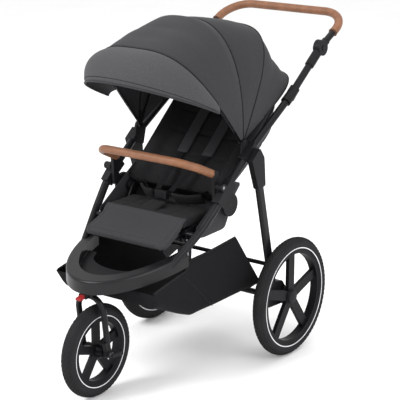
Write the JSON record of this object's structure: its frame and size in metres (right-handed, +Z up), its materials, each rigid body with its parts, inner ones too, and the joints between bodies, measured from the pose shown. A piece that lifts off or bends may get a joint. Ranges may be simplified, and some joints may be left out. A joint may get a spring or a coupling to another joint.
{
  "type": "three-wheeled jogging stroller",
  "caption": "Three-wheeled folding jogging stroller with reclining seat, arched hood, bumper bar, footrest nose, basket and air tyres.",
  "frame": {"origin": "on the ground under the middle of the overall box", "axes": "+Z up, -Y the way the child faces and the front wheel leads, +X the child's left"},
  "size_m": [0.6158, 1.2102, 1.1438],
  "materials": {
    "frame": "satin black",
    "plastic": "matte black",
    "rim": "semi-gloss black",
    "tyre": "matte",
    "grip": "stitched tan leather look",
    "cloth": "woven charcoal",
    "lining": "woven dark lining",
    "webbing": "black webbing",
    "steel": "brushed",
    "red": "gloss red",
    "wood": "moulded board"
  },
  "bodies": {
    "front_frame": {"front_tube_left": "frame", "front_tube_right": "frame", "fold_casings_front": "plastic", "fold_pins": "steel", "nose_housing": "plastic", "footrest_tray": "plastic", "swivel_housing": "plastic", "seat_cross_tube": "frame", "seat_hinge_plates": "frame", "seat_board": "wood", "seat_pad": "lining", "seat_bucket": "cloth", "basket": "cloth", "crotch_strap": "webbing", "harness_buckle": "plastic"},
    "upper_frame": {"upper_tube_left": "frame", "upper_tube_right": "frame", "fold_casings_rear": "plastic", "leg_brackets": "plastic", "knee_clamps": "plastic", "handle_sleeves": "plastic"},
    "rear_legs": {"rear_leg_left": "frame", "rear_leg_right": "frame", "leg_heads": "plastic", "axle_housings": "plastic", "rear_axle_tube": "frame", "rear_cross_tube": "frame", "axle_pins": "steel"},
    "rear_wheel_left": {"rear_rim_left": "rim", "rear_tyre_left": "tyre"},
    "rear_wheel_right": {"rear_rim_right": "rim", "rear_tyre_right": "tyre"},
    "brake": {"brake_pedal": "plastic"},
    "caster": {"front_fork": "frame", "front_axle_bolt": "steel"},
    "front_wheel": {"front_rim": "rim", "front_tyre": "tyre"},
    "quick_release": {"release_lever": "plastic"},
    "caster_lock": {"swivel_lock": "red"},
    "handle": {"handle_bar": "frame", "handle_grip": "grip", "handle_hubs": "plastic"},
    "hub_button_left": {"handle_button_left": "plastic"},
    "hub_button_right": {"handle_button_right": "plastic"},
    "bumper": {"bumper_bar": "grip", "bumper_arms": "plastic"},
    "hip": {"hip_discs": "plastic"},
    "backrest": {"backrest_frame": "frame", "backrest_pad": "lining", "back_shell": "cloth", "harness_straps": "webbing"},
    "calf_rest": {"calf_board": "wood", "calf_pad": "cloth"},
    "hood_carrier": {"hood_rib_rear": "frame", "hood_cloth": "cloth", "hood_visor": "cloth"},
    "hood_mid": {"hood_rib_mid": "frame"},
    "hood_front": {"hood_rib_front": "frame"},
    "buckle": {"buckle_button": "plastic"}
  },
  "joints": [
    {"name": "frame_fold", "type": "hinge", "parent": "front_frame", "child": "upper_frame", "pos_m": [0, -0.11682, 0.6322], "axis": [1, 0, 0], "range_deg": [0, 140], "deforming": ["seat_pad", "seat_bucket", "basket", "crotch_strap", "backrest_pad", "back_shell", "harness_straps", "calf_pad", "hood_cloth", "hood_visor"]},
    {"name": "rear_leg_fold", "type": "hinge", "parent": "upper_frame", "child": "rear_legs", "pos_m": [0, 0.03791, 0.69], "axis": [1, 0, 0], "range_deg": [-140, 0]},
    {"name": "rear_wheel_left_spin", "type": "hinge", "parent": "rear_legs", "child": "rear_wheel_left", "pos_m": [0, 0.19291, 0.2], "axis": [1, 0, 0], "continuous": true},
    {"name": "rear_wheel_right_spin", "type": "hinge", "parent": "rear_legs", "child": "rear_wheel_right", "pos_m": [0, 0.19291, 0.2], "axis": [1, 0, 0], "continuous": true},
    {"name": "brake_press", "type": "hinge", "parent": "rear_legs", "child": "brake", "pos_m": [0, 0.16291, 0.198], "axis": [1, 0, 0], "range_deg": [-20, 0]},
    {"name": "caster_swivel", "type": "hinge", "parent": "front_frame", "child": "caster", "pos_m": [0, -0.48009, 0.36], "axis": [0, 0, 1], "continuous": true},
    {"name": "front_wheel_spin", "type": "hinge", "parent": "caster", "child": "front_wheel", "pos_m": [0, -0.45609, 0.149], "axis": [1, 0, 0], "continuous": true},
    {"name": "quick_release_turn", "type": "hinge", "parent": "caster", "child": "quick_release", "pos_m": [0, -0.45609, 0.149], "axis": [1, 0, 0], "range_deg": [0, 90]},
    {"name": "swivel_lock_turn", "type": "hinge", "parent": "caster", "child": "caster_lock", "pos_m": [0, -0.50909, 0.341], "axis": [1, 0, 0], "range_deg": [0, 25]},
    {"name": "handle_tilt", "type": "hinge", "parent": "upper_frame", "child": "handle", "pos_m": [0, 0.41891, 0.994], "axis": [1, 0, 0], "range_deg": [-30, 45]},
    {"name": "hub_button_left_press", "type": "slide", "parent": "handle", "child": "hub_button_left", "axis": [-1, 0, 0], "range_m": [0, 0.004], "stiffness_N_per_m": 300},
    {"name": "hub_button_right_press", "type": "slide", "parent": "handle", "child": "hub_button_right", "axis": [1, 0, 0], "range_m": [0, 0.004], "stiffness_N_per_m": 300},
    {"name": "bumper_fold", "type": "hinge", "parent": "front_frame", "child": "bumper", "pos_m": [0, -0.11009, 0.583], "axis": [1, 0, 0], "range_deg": [0, 70.5]},
    {"name": "hip_fold", "type": "hinge", "parent": "front_frame", "child": "hip", "pos_m": [0, -0.05709, 0.561], "axis": [1, 0, 0], "range_deg": [0, 110]},
    {"name": "recline", "type": "hinge", "parent": "hip", "child": "backrest", "pos_m": [0, -0.05709, 0.561], "axis": [1, 0, 0], "range_deg": [-25, 0]},
    {"name": "calf_rest_drop", "type": "hinge", "parent": "front_frame", "child": "calf_rest", "pos_m": [0, -0.21209, 0.495], "axis": [1, 0, 0], "range_deg": [0, 50]},
    {"name": "hood_fold", "type": "hinge", "parent": "upper_frame", "child": "hood_carrier", "pos_m": [0, 0.02091, 0.745], "axis": [1, 0, 0], "range_deg": [-91, 0]},
    {"name": "hood_mid_turn", "type": "hinge", "parent": "hood_carrier", "child": "hood_mid", "pos_m": [0, 0.02091, 0.745], "axis": [1, 0, 0], "range_deg": [-18.5, 0]},
    {"name": "hood_close", "type": "hinge", "parent": "hood_mid", "child": "hood_front", "pos_m": [0, 0.02091, 0.745], "axis": [1, 0, 0], "range_deg": [-30, 0]},
    {"name": "buckle_press", "type": "slide", "parent": "front_frame", "child": "buckle", "axis": [0, 1, 0], "range_m": [0, 0.002], "stiffness_N_per_m": 300}
  ],
  "couplings": [
    {"joint": "rear_leg_fold", "follows": "frame_fold", "ratio": -0.993},
    {"joint": "bumper_fold", "follows": "frame_fold", "ratio": 0.5},
    {"joint": "hip_fold", "follows": "frame_fold", "ratio": 0.78},
    {"joint": "hood_fold", "follows": "frame_fold", "ratio": -0.643},
    {"joint": "hood_mid_turn", "follows": "hood_close", "ratio": 0.6}
  ]
}
